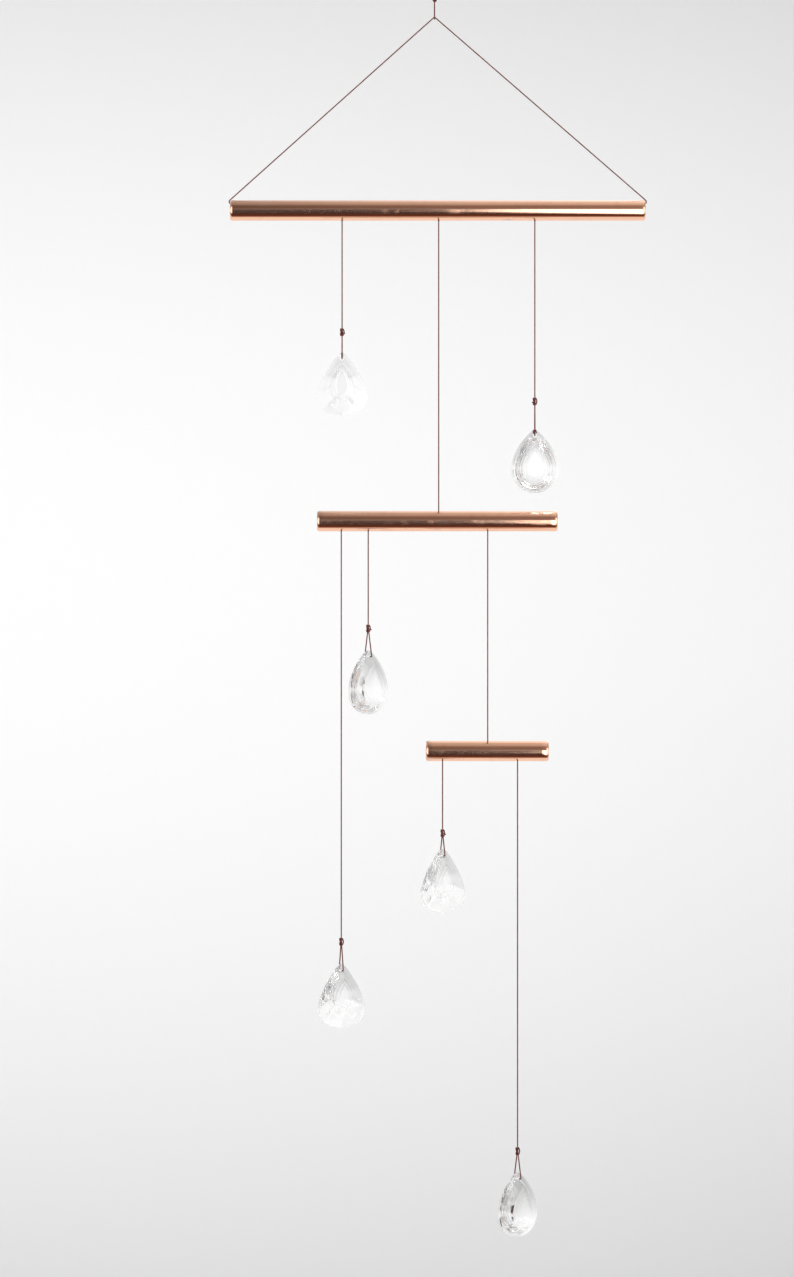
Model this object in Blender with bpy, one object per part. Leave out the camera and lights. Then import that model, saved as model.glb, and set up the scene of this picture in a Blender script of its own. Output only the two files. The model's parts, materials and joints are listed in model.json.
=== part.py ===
"""A hanging mobile: three copper tubes and six cut crystal drops on waxed cord.

Metres. +Z is up, +X is right and -Y faces the viewer. The origin is the point where the
hanging eye bears on its hook.
"""

import math
from collections import namedtuple

import bmesh
import bpy
from mathutils import Vector

# Waxed cord, and the clearance between pieces that touch
CORD_D = 0.0007
GAP = 0.0003

# Copper tube
TUBE_OD = 0.0127
TUBE_WALL = 0.0009
END_ROLL = 0.0016  # length of the edge that the cutting wheel rolled in
LIP = 0.0004  # how far the rolled edge narrows the bore
DRILL_D = 0.0020  # holes for the cords
TOP_LENGTH = 0.2573
MIDDLE_LENGTH = 0.1490
BOTTOM_LENGTH = 0.0760

# Hanger and bridle
EYE_TO_APEX = 0.0446
EYE_WIDTH = 0.0140
EYE_SPREAD = (0.85, 0.45)  # shares of the eye's height between which its strands part
KNOT_TO_APEX = 0.0118
BRIDLE_RISE = 0.1200  # apex above the top tube's axis
TOP_OFFSET = 0.0020  # top tube's middle, to the right of the hanger
BRIDLE_KNOT_AT = 0.0400  # along the top tube's bore

# Lower tubes: drop between tube axes, and holes along the upper and the lower tube
MIDDLE_DROP = 0.1926
MIDDLE_FROM = 0.0006
MIDDLE_HOLE = 0.0009
BOTTOM_DROP = 0.1425
BOTTOM_FROM = 0.0313
BOTTOM_HOLE = 0.0003

# Knots: the tied ones that show, and the squat ones pulled tight inside the tubes
KNOT_D = 0.0027
KNOT_H = 0.0050
STOPPER_D = 0.0030
STOPPER_H = 0.0026
KNOT_FULLNESS = 0.8  # 1 is an egg, less has fuller shoulders

# Crystals: pears whose width follows sin(a) * sin(a / 2) ** taper from the top round the tip,
# with a share of plain sin(a), the shoulder, that keeps a strongly tapered top blunt
CRYSTAL_HOLE_D = 0.0022
CRYSTAL_ABOVE = 0.0043  # hole to top
CRYSTAL_BELOW = 0.0353  # hole to tip
FLUTE_TURN = math.radians(36)  # between the ridges of a fluted edge

# A cut runs from its girdle to a pear-shaped table. Its rings are the creases between them, each
# by its share of the way in and of the way up. Flutes hollow the outline and the slopes.
Cut = namedtuple(
    "Cut",
    "width taper shoulder thickness girdle table_width table_height table_below table_taper"
    " rings flute_depth flute_dip corners",
)
BROAD = Cut(
    width=0.0322,
    taper=2.0,
    shoulder=0.28,
    thickness=0.0099,
    girdle=0.0022,
    table_width=0.0064,
    table_height=0.0130,
    table_below=0.0150,
    table_taper=0.7,
    rings=((0.50, 0.50), (0.80, 0.85)),
    flute_depth=0.035,
    flute_dip=0.14,
    corners=60,
)
ALMOND = Cut(
    width=0.0296,
    taper=0.7,
    shoulder=0.0,
    thickness=0.0148,
    girdle=0.0026,
    table_width=0.0084,
    table_height=0.0160,
    table_below=0.0175,
    table_taper=1.2,
    rings=((0.35, 0.34), (0.62, 0.70), (0.85, 0.92)),
    flute_depth=0.0,
    flute_dip=0.0,
    corners=36,
)

# Drops: along the tube from its middle, tube axis to loop, loop to knot, and turn in degrees
Pendant = namedtuple("Pendant", "number along drop loop cut turn")
TOP_PENDANTS = (
    Pendant(number=1, along=-0.0593, drop=0.0918, loop=0.0164, cut=BROAD, turn=0),
    Pendant(number=2, along=0.0602, drop=0.1394, loop=0.0211, cut=ALMOND, turn=0),
)
MIDDLE_PENDANTS = (
    Pendant(number=3, along=-0.0428, drop=0.0840, loop=0.0175, cut=ALMOND, turn=40),
    Pendant(number=4, along=-0.0595, drop=0.2786, loop=0.0179, cut=BROAD, turn=28),
)
BOTTOM_PENDANTS = (
    Pendant(number=5, along=-0.0277, drop=0.0649, loop=0.0140, cut=BROAD, turn=33),
    Pendant(number=6, along=0.0188, drop=0.2651, loop=0.0171, cut=ALMOND, turn=38),
)

# How finely round shapes are divided
TUBE_SIDES = 32
ROLL_STEPS = 4
DRILL_SIDES = 16
KNOT_SIDES = 10
KNOT_STEPS = 6
CORNER_ROUNDS = 2
CORNER_SHARE = 0.25  # of each stretch of a route, cut off at its corners
CORD_STEPS = 2
SHARP_ANGLE = math.radians(30)
MERGE = 1e-6

# Looks
COPPER_COLOUR = (0.78, 0.40, 0.26)
CRYSTAL_COLOUR = (0.96, 0.97, 0.98)
CORD_COLOUR = (0.07, 0.035, 0.03)

# Worked out from the sizes above
CORD_R = CORD_D / 2
STANDOFF = CORD_R + GAP  # from a surface to the middle of the cord that lies on it
PAIR_Y = CORD_R + GAP / 2  # two strands side by side
TUBE_R = TUBE_OD / 2
BORE_R = TUBE_R - TUBE_WALL
LIP_R = BORE_R - LIP
WALL_MID = TUBE_R - TUBE_WALL / 2
KNOT_REACH = KNOT_H / 2 + GAP  # from a knot's middle to the end of a cord that enters it


def new_material(name, colour, roughness, metallic=0.0, transmission=0.0):
    material = bpy.data.materials.new(name)
    material.use_nodes = True
    shader = material.node_tree.nodes["Principled BSDF"]
    shader.inputs["Base Color"].default_value = (*colour, 1.0)
    shader.inputs["Roughness"].default_value = roughness
    shader.inputs["Metallic"].default_value = metallic
    shader.inputs["Transmission Weight"].default_value = transmission
    return material


def place(name, data, parent, at):
    """Adds an object to the scene at a place in its parent's frame."""
    made = bpy.data.objects.new(name, data)
    bpy.context.scene.collection.objects.link(made)
    made.parent = parent
    made.location = at
    return made


def pivot(name, parent, at, turn=0.0):
    """An empty on a joint's axis, turned about Z by degrees."""
    made = place(name, None, parent, at)
    made.rotation_euler.z = math.radians(turn)
    return made


def solid(name, bm, material, parent, at):
    """A mesh object from a bmesh, with its faces pointing out."""
    bmesh.ops.recalc_face_normals(bm, faces=bm.faces)
    mesh = bpy.data.meshes.new(name)
    bm.to_mesh(mesh)
    bm.free()
    mesh.materials.append(material)
    return place(name, mesh, parent, at)


def cut_away(piece, bm):
    """Subtracts a cutter, made in the piece's own frame, with a Boolean."""
    cutter = solid(piece.name + "_cutter", bm, piece.data.materials[0], piece, (0, 0, 0))
    cutter.hide_render = True
    cutter.display_type = "WIRE"
    modifier = piece.modifiers.new("drilled", "BOOLEAN")
    modifier.operation = "DIFFERENCE"
    modifier.object = cutter


def turned(profile, axis, sides, closed):
    """A bmesh of a profile spun once round an axis through the origin."""
    bm = bmesh.new()
    verts = [bm.verts.new(point) for point in profile]
    ends = zip(verts, verts[1:] + verts[:1] if closed else verts[1:])
    edges = [bm.edges.new(pair) for pair in ends]
    bmesh.ops.spin(
        bm, geom=verts + edges, cent=(0, 0, 0), axis=axis, angle=math.tau, steps=sides
    )
    bmesh.ops.remove_doubles(bm, verts=bm.verts, dist=MERGE)
    return bm


def drill(bm, at, axis, diameter, length):
    """Adds a cylinder to a cutter's bmesh."""
    turn = Vector((0, 0, 1)).rotation_difference(Vector(axis)).to_matrix().to_4x4()
    turn.translation = at
    bmesh.ops.create_cone(
        bm,
        cap_ends=True,
        segments=DRILL_SIDES,
        radius1=diameter / 2,
        radius2=diameter / 2,
        depth=length,
        matrix=turn,
    )


def rounded(route):
    """The route with its corners cut to a smooth curve. Straight runs stay straight."""
    for _ in range(CORNER_ROUNDS):
        smooth = [route[0]]
        for start, end in zip(route, route[1:]):
            smooth += [start.lerp(end, CORNER_SHARE), end.lerp(start, CORNER_SHARE)]
        route = smooth + [route[-1]]
    return route


def cord(name, route, material, parent, at=(0, 0, 0)):
    """A round cord along a route in its parent's frame."""
    curve = bpy.data.curves.new(name, "CURVE")
    curve.dimensions = "3D"
    curve.bevel_depth = CORD_R
    curve.bevel_resolution = CORD_STEPS
    curve.use_fill_caps = True
    line = curve.splines.new("POLY")
    line.points.add(len(route) - 1)
    for point, place_on_route in zip(line.points, route):
        point.co = (*place_on_route, 1.0)
    curve.materials.append(material)
    return place(name, curve, parent, at)


def mirrored(half, axis):
    """A route that runs along half of it and back along its mirror image."""
    other = [point.copy() for point in reversed(half)]
    for point in other:
        point[axis] = -point[axis]
    return half + other


def knot(name, diameter, height, material, parent, at, axis=(0, 0, 1)):
    """A knot pulled tight: a full egg turned about the cord's line."""
    along = Vector(axis)
    across = Vector((0, 1, 0))
    profile = []
    for step in range(KNOT_STEPS + 1):
        angle = math.pi * step / KNOT_STEPS
        radius = diameter / 2 * math.sin(angle) ** KNOT_FULLNESS if 0 < step < KNOT_STEPS else 0.0
        profile.append(along * (height / 2 * math.cos(angle)) + across * radius)
    made = solid(name, turned(profile, along, KNOT_SIDES, False), material, parent, at)
    made.data.shade_smooth()
    return made


def tube_profile(length):
    """Half section of a cut tube: the cutter leaves each end rolled in to a narrow lip."""
    half = []
    for step in range(ROLL_STEPS + 1):
        angle = math.pi / 2 * step / ROLL_STEPS
        along = length / 2 - END_ROLL * (1 - math.sin(angle))
        half.append(Vector((along, 0, TUBE_R - TUBE_WALL * (1 - math.cos(angle)))))
    half.append(Vector((length / 2, 0, LIP_R)))
    half.append(Vector((length / 2 - END_ROLL, 0, BORE_R)))
    return mirrored(half, 0)


def tube(name, length, under, over, material, parent):
    """A copper tube along X with holes drilled through its underside and its top."""
    profile = tube_profile(length)
    made = solid(name, turned(profile, (1, 0, 0), TUBE_SIDES, True), material, parent, (0, 0, 0))
    made.data.shade_smooth()
    made.data.set_sharp_from_angle(angle=SHARP_ANGLE)
    holes = bmesh.new()
    for along, side in [(x, -1) for x in under] + [(x, 1) for x in over]:
        drill(holes, (along, 0, side * WALL_MID), (0, 0, 1), DRILL_D, 4 * TUBE_WALL)
    cut_away(made, holes)
    return made


def pear(width, height, middle, taper, corners, shoulder=0.0):
    """Corners of a pear-shaped outline in the XZ plane, from its top round by its tip."""
    angles = [math.tau * i / corners for i in range(corners)]
    slim = [abs(math.sin(a / 2)) ** taper for a in angles]
    swell = [math.sin(a) * (shoulder + (1 - shoulder) * s) for a, s in zip(angles, slim)]
    scale = width / 2 / max(swell)
    return [
        Vector((scale * s, 0, middle + height / 2 * math.cos(a))) for a, s in zip(angles, swell)
    ]


def flute(angle):
    """0 on a ridge and 1 in the hollow between two, dying out towards the top."""
    hollow = abs(math.sin(math.pi * (angle - math.pi) / FLUTE_TURN))
    return hollow * (1 - math.cos(angle)) / 2


def profile(cut):
    """Half section of a cut: share of the way in from the girdle, and half thickness."""
    edge = cut.girdle / 2
    rise = cut.thickness / 2 - edge
    return [(inward, edge + rise * up) for inward, up in ((0, 0), *cut.rings, (1, 1))]


def ring(bm, cut, inward, depth):
    """Corners of one crease round the glass, about the hole."""
    height = CRYSTAL_ABOVE + CRYSTAL_BELOW
    middle = Vector((0, 0, CRYSTAL_ABOVE - height / 2))
    rim = pear(cut.width, height, middle.z, cut.taper, cut.corners, cut.shoulder)
    table = pear(
        cut.table_width, cut.table_height, -cut.table_below, cut.table_taper, cut.corners
    )
    corners = []
    for i, (outer, inner) in enumerate(zip(rim, table)):
        hollow = flute(math.tau * i / cut.corners)
        corner = outer.lerp(middle, cut.flute_depth * hollow).lerp(inner, inward)
        corner.y = depth * (1 - cut.flute_dip * hollow * 4 * inward * (1 - inward))
        corners.append(bm.verts.new(corner))
    return corners


def half_thickness(cut, height):
    """Half the glass's thickness on its centre line, at a height above its hole."""
    table_top = cut.table_height / 2 - cut.table_below
    way_in = (CRYSTAL_ABOVE - height) / (CRYSTAL_ABOVE - table_top)
    steps = profile(cut)
    for (start, thin), (end, thick) in zip(steps, steps[1:]):
        if start <= way_in <= end:
            return thin + (thick - thin) * (way_in - start) / (end - start)
    return cut.thickness / 2


def cut_glass(cut):
    """Glass lofted through its creases, from the front table over the girdle to the back one."""
    bm = bmesh.new()
    steps = profile(cut)
    rings = [ring(bm, cut, inward, -depth) for inward, depth in reversed(steps)]
    rings += [ring(bm, cut, inward, depth) for inward, depth in steps]
    for outer, inner in zip(rings, rings[1:]):
        for i in range(cut.corners):
            bm.faces.new((outer[i - 1], outer[i], inner[i], inner[i - 1]))
    bm.faces.new(rings[0])
    bm.faces.new(rings[-1])
    bmesh.ops.triangulate(bm, faces=bm.faces)
    return bm


def crystal(pendant, material, parent, at):
    """A crystal hanging in its loop. Its origin is the line on which it rocks."""
    hole = Vector((0, 0, -(CRYSTAL_HOLE_D / 2 - STANDOFF)))
    glass = cut_glass(pendant.cut)
    bmesh.ops.translate(glass, verts=glass.verts, vec=hole)
    made = solid(f"crystal_{pendant.number}", glass, material, parent, at)
    bore = bmesh.new()
    drill(bore, hole, (0, 1, 0), CRYSTAL_HOLE_D, 2 * pendant.cut.thickness)
    cut_away(made, bore)
    return made


def loop_route(pendant):
    """Down from the knot, in through the crystal's hole and up again at the back."""
    rim = half_thickness(pendant.cut, CRYSTAL_HOLE_D / 2)
    top = Vector((0, -PAIR_Y, pendant.loop - KNOT_REACH))
    bend = Vector((0, -(rim + STANDOFF), 0))
    above = bend + (top - bend).normalized() * (2 * STANDOFF)
    inside = bend + Vector((0, 2 * STANDOFF, 0))
    return rounded(mirrored([top, above, bend, inside], 1))


def hang_pendant(pendant, bar, cord_look, glass_look):
    """A stopper in the tube, then drop cord, tied knot, loop and crystal below it."""
    number = pendant.number
    stopper_at = (pendant.along, 0, GAP + STOPPER_H / 2 - BORE_R)
    knot(f"stopper_{number}", STOPPER_D, STOPPER_H, cord_look, bar, stopper_at)
    swing = pivot(f"pendant_{number}_swing", bar, (pendant.along, 0, -WALL_MID))
    loop_at = WALL_MID - pendant.drop
    knot_at = loop_at + pendant.loop
    line = [Vector((0, 0, TUBE_WALL / 2)), Vector((0, 0, knot_at + KNOT_REACH))]
    cord(f"drop_cord_{number}", line, cord_look, swing)
    turn = pivot(f"pendant_{number}_turn", swing, (0, 0, loop_at), pendant.turn)
    tied_at = (0, 0, pendant.loop)
    knot(f"tie_knot_{number}", KNOT_D, KNOT_H, cord_look, turn, tied_at)
    cord(f"crystal_loop_{number}", loop_route(pendant), cord_look, turn)
    crystal(pendant, glass_look, turn, (0, 0, 0))


def hang_bar(name, drop, upper, hole_above, hole, cord_look):
    """Suspension cord and its two stoppers. Returns the frame at the lower tube's middle."""
    stopper_at = (hole_above, 0, GAP + STOPPER_H / 2 - BORE_R)
    knot(f"{name}_upper_stopper", STOPPER_D, STOPPER_H, cord_look, upper, stopper_at)
    swing = pivot(f"{name}_swing", upper, (hole_above, 0, -WALL_MID))
    line = [Vector((0, 0, TUBE_WALL / 2)), Vector((0, 0, WALL_MID + BORE_R - drop))]
    cord(f"{name}_suspension_cord", line, cord_look, swing)
    teeter = pivot(f"{name}_teeter", swing, (0, 0, 2 * WALL_MID - drop))
    seat = (0, 0, BORE_R - WALL_MID - GAP - STOPPER_H / 2)
    knot(f"{name}_lower_stopper", STOPPER_D, STOPPER_H, cord_look, teeter, seat)
    return pivot(f"{name}_bar", teeter, (-hole, 0, -WALL_MID))


def build_hanger(cord_look):
    """Eye, knot and doubled strand. Returns the frame at the bridle's apex."""
    hook = pivot("hook", None, (0, 0, 0))
    knot_at = KNOT_TO_APEX - EYE_TO_APEX
    foot = knot_at + KNOT_REACH
    bow = EYE_WIDTH / 2 - CORD_R
    together, apart = EYE_SPREAD
    half = [
        Vector((-PAIR_Y, 0, foot)),
        Vector((-PAIR_Y, 0, together * foot)),
        Vector((-bow, 0, apart * foot)),
        Vector((-bow, 0, CORD_R)),
    ]
    cord("hanging_eye", rounded(mirrored(half, 0)), cord_look, hook)
    swing = pivot("hanger_swing", hook, (0, 0, knot_at))
    knot("hanger_knot", KNOT_D, KNOT_H, cord_look, swing, (0, 0, 0))
    apex = pivot("hanger_turn", swing, (0, 0, -KNOT_TO_APEX))
    spread = CORD_D + GAP
    span = TOP_LENGTH / 2 + STANDOFF
    slope = math.atan2(BRIDLE_RISE - TUBE_R + GAP, span)
    under = -spread / math.cos(slope)
    half = [
        Vector((0, -PAIR_Y, KNOT_TO_APEX - KNOT_REACH)),
        Vector((0, -spread, 2 * spread)),
        Vector((0, -spread, under)),
    ]
    cord("hanger_strand", rounded(mirrored(half, 1)), cord_look, apex)
    return apex


def build_bridle(cord_look, bar):
    """The closed triangle of cord: up from both ends of the tube, and back through its bore."""
    knot_z = BORE_R - GAP - KNOT_D / 2
    knot_at = (BRIDLE_KNOT_AT, 0, knot_z)
    knot("bridle_knot", KNOT_D, KNOT_H, cord_look, bar, knot_at, (1, 0, 0))
    top = Vector((-TOP_OFFSET, 0, BRIDLE_RISE))
    route = []
    for side in (1, -1):
        end = side * TOP_LENGTH / 2
        out = end + side * STANDOFF
        shoulder = Vector((out, 0, TUBE_R - GAP))
        up = (top - shoulder).normalized() * (2 * STANDOFF)
        half = [
            Vector((BRIDLE_KNOT_AT + side * KNOT_REACH, 0, knot_z)),
            Vector((end - side * 2 * STANDOFF, 0, LIP_R - STANDOFF)),
            Vector((out, 0, LIP_R - STANDOFF)),
            shoulder,
            shoulder + up,
            top - up,
        ]
        route += half + [top] if side > 0 else half[::-1]
    cord("bridle_cord", rounded(route), cord_look, bar)


def build():
    for old in list(bpy.data.objects):
        bpy.data.objects.remove(old, do_unlink=True)
    copper = new_material("copper", COPPER_COLOUR, roughness=0.16, metallic=1.0)
    glass = new_material("crystal", CRYSTAL_COLOUR, roughness=0.0, transmission=1.0)
    waxed = new_material("waxed_cord", CORD_COLOUR, roughness=0.55)

    apex = build_hanger(waxed)
    top_bar = pivot("top_bar", apex, (TOP_OFFSET, 0, -BRIDLE_RISE))
    build_bridle(waxed, top_bar)
    middle_bar = hang_bar("middle", MIDDLE_DROP, top_bar, MIDDLE_FROM, MIDDLE_HOLE, waxed)
    bottom_bar = hang_bar("bottom", BOTTOM_DROP, middle_bar, BOTTOM_FROM, BOTTOM_HOLE, waxed)
    bars = (
        ("top_tube", TOP_LENGTH, top_bar, TOP_PENDANTS, [MIDDLE_FROM], []),
        ("middle_tube", MIDDLE_LENGTH, middle_bar, MIDDLE_PENDANTS, [BOTTOM_FROM], [MIDDLE_HOLE]),
        ("bottom_tube", BOTTOM_LENGTH, bottom_bar, BOTTOM_PENDANTS, [], [BOTTOM_HOLE]),
    )
    for name, length, bar, pendants, carries, hangs_by in bars:
        under = carries + [pendant.along for pendant in pendants]
        tube(name, length, under, hangs_by, copper, bar)
        for pendant in pendants:
            hang_pendant(pendant, bar, waxed, glass)


build()
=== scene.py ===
"""Looks of a hanging mobile: copper tubes in tiers, with crystal drops on waxed cord.

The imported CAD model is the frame. Everything here is in metres in the frame's own axes: +Z is
up, +X is right and -Y faces the viewer. The tubes, crystals, cords and knots are worked out again
as fine surfaces on the places that the frame gives, and ride on the frame's bodies.
"""

import json
import logging
import math
from dataclasses import dataclass
from enum import Enum
from typing import Any

import bpy
import numpy as np
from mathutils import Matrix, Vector
from numpy.typing import NDArray


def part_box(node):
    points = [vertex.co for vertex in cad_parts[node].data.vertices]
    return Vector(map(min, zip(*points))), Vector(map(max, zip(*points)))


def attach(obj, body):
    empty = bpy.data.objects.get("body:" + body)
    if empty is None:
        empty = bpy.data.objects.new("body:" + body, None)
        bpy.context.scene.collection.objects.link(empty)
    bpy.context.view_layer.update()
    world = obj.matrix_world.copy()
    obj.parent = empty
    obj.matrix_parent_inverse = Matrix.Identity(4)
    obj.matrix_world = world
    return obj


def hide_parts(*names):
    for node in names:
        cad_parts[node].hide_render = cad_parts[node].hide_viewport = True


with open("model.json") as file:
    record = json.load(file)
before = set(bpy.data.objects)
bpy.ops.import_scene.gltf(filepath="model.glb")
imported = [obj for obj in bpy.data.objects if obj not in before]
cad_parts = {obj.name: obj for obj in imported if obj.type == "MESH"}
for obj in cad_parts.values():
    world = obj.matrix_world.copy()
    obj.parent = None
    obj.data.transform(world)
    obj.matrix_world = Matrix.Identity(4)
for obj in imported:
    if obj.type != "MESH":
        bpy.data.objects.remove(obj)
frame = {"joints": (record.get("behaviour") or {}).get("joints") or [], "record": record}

Array = NDArray[np.float64]
Faces = NDArray[np.int64]
Colour = tuple[float, float, float]
Triple = tuple[float, float, float]
Span = tuple[float, float]
Stops = tuple[tuple[float, Any], ...]
Socket = bpy.types.NodeSocket

LOG = logging.getLogger("crystal_mobile")
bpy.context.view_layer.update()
JOINT_AT = {joint["name"]: np.array(joint["pos_m"]) for joint in frame["joints"]}
BODY_OF = {
    node: body
    for body, nodes in frame["record"]["behaviour"]["bodies"].items()
    for node in nodes
}

X_AXIS = np.array([1.0, 0.0, 0.0])
Y_AXIS = np.array([0.0, 1.0, 0.0])
Z_AXIS = np.array([0.0, 0.0, 1.0])

# Cord and clearances, as in the CAD model
CORD_D = 0.0007
GAP = 0.0003
PLIES = 3
CORD_R = CORD_D / 2
STANDOFF = CORD_R + GAP
PAIR_OFFSET = CORD_R + GAP / 2

# Copper tube
TUBE_R = 0.00635
TUBE_WALL = 0.0009
END_ROLL = 0.0016
LIP = 0.0004
DRILL_R = 0.0010
BORE_R = TUBE_R - TUBE_WALL
LIP_R = BORE_R - LIP

# Crystals
CRYSTAL_HOLE_R = 0.0011
CRYSTAL_ABOVE = 0.0043
CRYSTAL_BELOW = 0.0353
FLUTE_TURN = math.radians(36)

# Edges that stay sharp on metal, and creases that stay crisp on glass
EDGE_ANGLE = math.radians(30)
CREASE_ANGLE = math.radians(8)


class Slot(Enum):
    """The record's material slots."""

    COPPER = "copper"
    CRYSTAL = "crystal"
    CORD = "cord"


class Bar(Enum):
    """The tubes from the top down, each by its node."""

    TOP = "top_tube"
    MIDDLE = "middle_tube"
    BOTTOM = "bottom_tube"


class NodeSheet:
    """Adds nodes to one node tree and links them by name."""

    def __init__(self, tree: bpy.types.NodeTree) -> None:
        """Takes the tree that the nodes go into."""
        self.tree = tree

    def feed(self, node: bpy.types.Node, inputs: dict[Any, Any]) -> None:
        """Sets a node's inputs.

        Args:
            node: The node.
            inputs: Socket name or index to a value, or to the socket that feeds it.
        """
        for key, value in inputs.items():
            if isinstance(value, Socket):
                self.tree.links.new(value, node.inputs[key])
            else:
                node.inputs[key].default_value = value

    def add(self, kind: str, inputs: dict[Any, Any], **settings: Any) -> bpy.types.Node:
        """Makes a node.

        Args:
            kind: Blender's name of the node's type.
            inputs: Socket name or index to a value, or to the socket that feeds it.
            settings: Properties of the node.

        Returns:
            The new node.
        """
        node = self.tree.nodes.new(kind)
        for name, value in settings.items():
            setattr(node, name, value)
        self.feed(node, inputs)
        return node

    def ramp(self, factor: Socket, stops: Stops) -> Socket:
        """A colour ramp.

        Args:
            factor: The socket that runs along the ramp, from 0 to 1.
            stops: Position and colour, or position and grey value, in rising order.

        Returns:
            The ramp's colour socket.
        """
        node = self.add("ShaderNodeValToRGB", {"Fac": factor})
        elements = node.color_ramp.elements
        while len(elements) < len(stops):
            elements.new(1.0)
        for element, (position, value) in zip(elements, stops):
            colour = (value, value, value) if isinstance(value, float) else value
            element.position = position
            element.color = (*colour, 1.0)
        return node.outputs["Color"]

    def rise(self, value: Socket, span: Span) -> Socket:
        """A ramp from black at the span's start to white at its end. Returns its socket."""
        return self.ramp(value, ((span[0], 0.0), (span[1], 1.0)))

    def mix(self, factor: Any, first: Any, second: Any, blend: str = "MIX") -> Socket:
        """A blend of two colours, the first at factor 0. Returns the colour socket."""
        inputs = {0: factor, 6: first, 7: second}
        return self.add("ShaderNodeMix", inputs, data_type="RGBA", blend_type=blend).outputs[2]

    def math(self, operation: str, *values: Any) -> Socket:
        """An arithmetic node on one to three values. Returns its value socket."""
        node = self.add("ShaderNodeMath", dict(enumerate(values)), operation=operation)
        return node.outputs[0]

    def vector(self, operation: str, first: Any, second: Any) -> bpy.types.Node:
        """A vector arithmetic node on two vectors."""
        return self.add("ShaderNodeVectorMath", {0: first, 1: second}, operation=operation)

    def between(self, value: Any, low: float, high: float) -> Socket:
        """A value from 0 to 1 spread over low to high. Returns the value socket."""
        node = self.add("ShaderNodeMapRange", {"Value": value, "To Min": low, "To Max": high})
        return node.outputs["Result"]

    def noise(self, vector: Socket, stretch: Triple, detail: float) -> Socket:
        """Noise that is stretched or packed along each axis.

        Args:
            vector: The coordinates that it follows.
            stretch: Waves to the unit along each axis.
            detail: How many finer layers it has.

        Returns:
            The noise value's socket.
        """
        packed = self.add("ShaderNodeMapping", {"Vector": vector, "Scale": stretch})
        inputs = {"Vector": packed.outputs["Vector"], "Scale": 1.0, "Detail": detail}
        return self.add("ShaderNodeTexNoise", inputs).outputs["Fac"]

    def bump(self, height: Socket, strength: float, distance: float) -> Socket:
        """A bump of a greatest height in metres. Returns the normal's socket."""
        inputs = {"Height": height, "Strength": strength, "Distance": distance}
        return self.add("ShaderNodeBump", inputs).outputs["Normal"]


def new_material(name: str) -> tuple[bpy.types.Material, NodeSheet, bpy.types.Node]:
    """An empty material.

    Args:
        name: The material's name.

    Returns:
        The material, its node sheet and its Principled BSDF, which feeds the output.
    """
    material = bpy.data.materials.new(name)
    material.use_nodes = True
    sheet = NodeSheet(material.node_tree)
    return material, sheet, material.node_tree.nodes["Principled BSDF"]


def grey(value: float) -> tuple[float, float, float, float]:
    """An opaque grey of a value."""
    return (value, value, value, 1.0)


@dataclass(frozen=True)
class Patches:
    """Soft-edged handling marks, which copper, cord and glass all carry.

    The mask leaves 0 where the noise passes low, and reaches 1 at high. Scale is in patches to
    the metre.
    """

    scale: float
    low: float
    high: float

    def mask(self, sheet: NodeSheet, vector: Socket) -> Socket:
        """Places the shared patches in a material.

        Args:
            sheet: The material's node sheet.
            vector: The coordinates that the patches follow.

        Returns:
            The mask's socket.
        """
        inputs = {"Vector": vector, "Scale": self.scale, "Low": self.low, "High": self.high}
        return sheet.add("ShaderNodeGroup", inputs, node_tree=PATCHES_GROUP).outputs["Mask"]


def patches_group() -> bpy.types.NodeTree:
    """Noise whose values from Low to High are spread smoothly from 0 to 1.

    Returns:
        A node group with inputs Vector, Scale, Low and High, and an output Mask from 0 to 1.
    """
    group = bpy.data.node_groups.new("handling_patches", "ShaderNodeTree")
    face = group.interface
    face.new_socket("Vector", in_out="INPUT", socket_type="NodeSocketVector")
    for name in ("Scale", "Low", "High"):
        face.new_socket(name, in_out="INPUT", socket_type="NodeSocketFloat")
    face.new_socket("Mask", in_out="OUTPUT", socket_type="NodeSocketFloat")
    sheet = NodeSheet(group)
    entry = sheet.add("NodeGroupInput", {}).outputs
    noise = sheet.add(
        "ShaderNodeTexNoise",
        {
            "Vector": entry["Vector"],
            "Scale": entry["Scale"],
            "Detail": 5.0,
            "Roughness": 0.62,
            "Distortion": 0.6,
        },
    )
    spread = sheet.add(
        "ShaderNodeMapRange",
        {"Value": noise.outputs["Fac"], "From Min": entry["Low"], "From Max": entry["High"]},
        interpolation_type="SMOOTHSTEP",
    )
    sheet.add("NodeGroupOutput", {"Mask": spread.outputs["Result"]})
    return group


PATCHES_GROUP = patches_group()


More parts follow.
